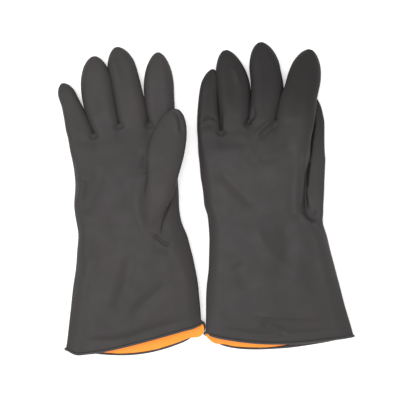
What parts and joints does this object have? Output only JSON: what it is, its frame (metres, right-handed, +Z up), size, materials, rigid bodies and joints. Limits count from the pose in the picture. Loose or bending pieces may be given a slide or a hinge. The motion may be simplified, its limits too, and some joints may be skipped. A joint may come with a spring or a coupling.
{
  "type": "rubber gloves",
  "caption": "Pair of long cuffed two-layer rubber gloves lying flat, right one palm up, left one back up, with bending finger stalls, thumbs and wrists.",
  "frame": {"origin": "on the surface that the pair lies on, under the middle of its footprint", "axes": "+Y along the gloves, from the cuffs to the fingertips; +X from the right-hand glove to the left-hand glove; +Z up"},
  "size_m": [0.3359, 0.3583, 0.0317],
  "materials": {
    "black_rubber": "satin",
    "orange_rubber": "matte",
    "black_bead": "satin"
  },
  "bodies": {
    "right_hand": {"right_hand_skin": "black_rubber", "right_hand_lining": "orange_rubber"},
    "right_cuff": {"right_cuff_skin": "black_rubber", "right_cuff_lining": "orange_rubber", "right_cuff_bead": "black_bead"},
    "right_thumb": {"right_thumb_skin": "black_rubber", "right_thumb_lining": "orange_rubber"},
    "right_index_knuckle": {"right_index_knuckle_skin": "black_rubber", "right_index_knuckle_lining": "orange_rubber"},
    "right_index_tip": {"right_index_tip_skin": "black_rubber", "right_index_tip_lining": "orange_rubber"},
    "right_middle_knuckle": {"right_middle_knuckle_skin": "black_rubber", "right_middle_knuckle_lining": "orange_rubber"},
    "right_middle_tip": {"right_middle_tip_skin": "black_rubber", "right_middle_tip_lining": "orange_rubber"},
    "right_ring_knuckle": {"right_ring_knuckle_skin": "black_rubber", "right_ring_knuckle_lining": "orange_rubber"},
    "right_ring_tip": {"right_ring_tip_skin": "black_rubber", "right_ring_tip_lining": "orange_rubber"},
    "right_little_knuckle": {"right_little_knuckle_skin": "black_rubber", "right_little_knuckle_lining": "orange_rubber"},
    "right_little_tip": {"right_little_tip_skin": "black_rubber", "right_little_tip_lining": "orange_rubber"},
    "left_hand": {"left_hand_skin": "black_rubber", "left_hand_lining": "orange_rubber"},
    "left_cuff": {"left_cuff_skin": "black_rubber", "left_cuff_lining": "orange_rubber", "left_cuff_bead": "black_bead"},
    "left_thumb": {"left_thumb_skin": "black_rubber", "left_thumb_lining": "orange_rubber"},
    "left_index_knuckle": {"left_index_knuckle_skin": "black_rubber", "left_index_knuckle_lining": "orange_rubber"},
    "left_index_tip": {"left_index_tip_skin": "black_rubber", "left_index_tip_lining": "orange_rubber"},
    "left_middle_knuckle": {"left_middle_knuckle_skin": "black_rubber", "left_middle_knuckle_lining": "orange_rubber"},
    "left_middle_tip": {"left_middle_tip_skin": "black_rubber", "left_middle_tip_lining": "orange_rubber"},
    "left_ring_knuckle": {"left_ring_knuckle_skin": "black_rubber", "left_ring_knuckle_lining": "orange_rubber"},
    "left_ring_tip": {"left_ring_tip_skin": "black_rubber", "left_ring_tip_lining": "orange_rubber"},
    "left_little_knuckle": {"left_little_knuckle_skin": "black_rubber", "left_little_knuckle_lining": "orange_rubber"},
    "left_little_tip": {"left_little_tip_skin": "black_rubber", "left_little_tip_lining": "orange_rubber"}
  },
  "joints": [
    {"name": "right_index_bend", "type": "hinge", "parent": "right_hand", "child": "right_index_knuckle", "pos_m": [-0.05146, 0.1117, 0.00688], "axis": [0.9978, 0.0665, 0], "range_deg": [-16, 70], "stiffness_Nm_per_rad": 0.05},
    {"name": "right_index_tip_bend", "type": "hinge", "parent": "right_index_knuckle", "child": "right_index_tip", "pos_m": [-0.05306, 0.13563, 0.00659], "axis": [0.9978, 0.0665, 0], "range_deg": [-9.6, 42]},
    {"name": "right_middle_bend", "type": "hinge", "parent": "right_hand", "child": "right_middle_knuckle", "pos_m": [-0.08778, 0.11258, 0.00689], "axis": [0.9797, 0.2004, 0], "range_deg": [-16, 70], "stiffness_Nm_per_rad": 0.05},
    {"name": "right_middle_tip_bend", "type": "hinge", "parent": "right_middle_knuckle", "child": "right_middle_tip", "pos_m": [-0.093, 0.1381, 0.0066], "axis": [0.9797, 0.2004, 0], "range_deg": [-9.6, 42]},
    {"name": "right_ring_bend", "type": "hinge", "parent": "right_hand", "child": "right_ring_knuckle", "pos_m": [-0.11923, 0.10741, 0.00689], "axis": [0.9874, 0.1585, 0], "range_deg": [-16, 70], "stiffness_Nm_per_rad": 0.05},
    {"name": "right_ring_tip_bend", "type": "hinge", "parent": "right_ring_knuckle", "child": "right_ring_tip", "pos_m": [-0.123, 0.1309, 0.0066], "axis": [0.9874, 0.1585, 0], "range_deg": [-9.6, 42]},
    {"name": "right_little_bend", "type": "hinge", "parent": "right_hand", "child": "right_little_knuckle", "pos_m": [-0.15016, 0.09385, 0.00639], "axis": [0.9495, 0.3137, 0], "range_deg": [-16, 70], "stiffness_Nm_per_rad": 0.05},
    {"name": "right_little_tip_bend", "type": "hinge", "parent": "right_little_knuckle", "child": "right_little_tip", "pos_m": [-0.15624, 0.11225, 0.00601], "axis": [0.9495, 0.3137, 0], "range_deg": [-9.6, 42]},
    {"name": "right_thumb_swing", "type": "hinge", "parent": "right_hand", "child": "right_thumb", "pos_m": [-0.04642, 0.04384, 0.02385], "axis": [0, 0, -1], "range_deg": [0, 35], "stiffness_Nm_per_rad": 0.08},
    {"name": "right_wrist_bend", "type": "hinge", "parent": "right_hand", "child": "right_cuff", "pos_m": [-0.0869, -0.0297, 0.0095], "axis": [-1, 0, 0], "range_deg": [-20, 40], "stiffness_Nm_per_rad": 0.6},
    {"name": "left_index_bend", "type": "hinge", "parent": "left_hand", "child": "left_index_knuckle", "pos_m": [0.10877, 0.12174, 0.01523], "axis": [-0.9801, 0.1984, 0], "range_deg": [-16, 70], "stiffness_Nm_per_rad": 0.05},
    {"name": "left_index_tip_bend", "type": "hinge", "parent": "left_index_knuckle", "child": "left_index_tip", "pos_m": [0.11336, 0.14442, 0.0111], "axis": [-0.9801, 0.1984, 0], "range_deg": [-9.6, 42]},
    {"name": "left_middle_bend", "type": "hinge", "parent": "left_hand", "child": "left_middle_knuckle", "pos_m": [0.0673, 0.11576, 0.01262], "axis": [-1, 0, 0], "range_deg": [-16, 70], "stiffness_Nm_per_rad": 0.05},
    {"name": "left_middle_tip_bend", "type": "hinge", "parent": "left_middle_knuckle", "child": "left_middle_tip", "pos_m": [0.0673, 0.14238, 0.00992], "axis": [-1, 0, 0], "range_deg": [-9.6, 42]},
    {"name": "left_ring_bend", "type": "hinge", "parent": "left_hand", "child": "left_ring_knuckle", "pos_m": [0.03182, 0.11012, 0.00917], "axis": [-0.9958, -0.0921, 0], "range_deg": [-16, 70], "stiffness_Nm_per_rad": 0.05},
    {"name": "left_ring_tip_bend", "type": "hinge", "parent": "left_ring_knuckle", "child": "left_ring_tip", "pos_m": [0.0295, 0.1352, 0.00792], "axis": [-0.9958, -0.0921, 0], "range_deg": [-9.6, 42]},
    {"name": "left_little_bend", "type": "hinge", "parent": "left_hand", "child": "left_little_knuckle", "pos_m": [0.00433, 0.09878, 0.00657], "axis": [-0.9998, 0.0193, 0], "range_deg": [-16, 70], "stiffness_Nm_per_rad": 0.05},
    {"name": "left_little_tip_bend", "type": "hinge", "parent": "left_little_knuckle", "child": "left_little_tip", "pos_m": [0.00474, 0.1198, 0.00616], "axis": [-0.9998, 0.0193, 0], "range_deg": [-9.6, 42]},
    {"name": "left_thumb_swing", "type": "hinge", "parent": "left_hand", "child": "left_thumb", "pos_m": [0.11713, 0.04832, 0.00547], "axis": [0, 0, -1], "range_deg": [0, 35], "stiffness_Nm_per_rad": 0.08},
    {"name": "left_wrist_bend", "type": "hinge", "parent": "left_hand", "child": "left_cuff", "pos_m": [0.07015, -0.0297, 0.0095], "axis": [1, 0, 0], "range_deg": [-20, 40], "stiffness_Nm_per_rad": 0.6},
    {"name": "left_glove_lift", "type": "slide", "parent": "right_hand", "child": "left_hand", "axis": [0, 0, 1], "range_m": [0, 0.15]}
  ],
  "couplings": [
    {"joint": "right_index_tip_bend", "follows": "right_index_bend", "ratio": 0.6},
    {"joint": "right_middle_tip_bend", "follows": "right_middle_bend", "ratio": 0.6},
    {"joint": "right_ring_tip_bend", "follows": "right_ring_bend", "ratio": 0.6},
    {"joint": "right_little_tip_bend", "follows": "right_little_bend", "ratio": 0.6},
    {"joint": "left_index_tip_bend", "follows": "left_index_bend", "ratio": 0.6},
    {"joint": "left_middle_tip_bend", "follows": "left_middle_bend", "ratio": 0.6},
    {"joint": "left_ring_tip_bend", "follows": "left_ring_bend", "ratio": 0.6},
    {"joint": "left_little_tip_bend", "follows": "left_little_bend", "ratio": 0.6}
  ]
}
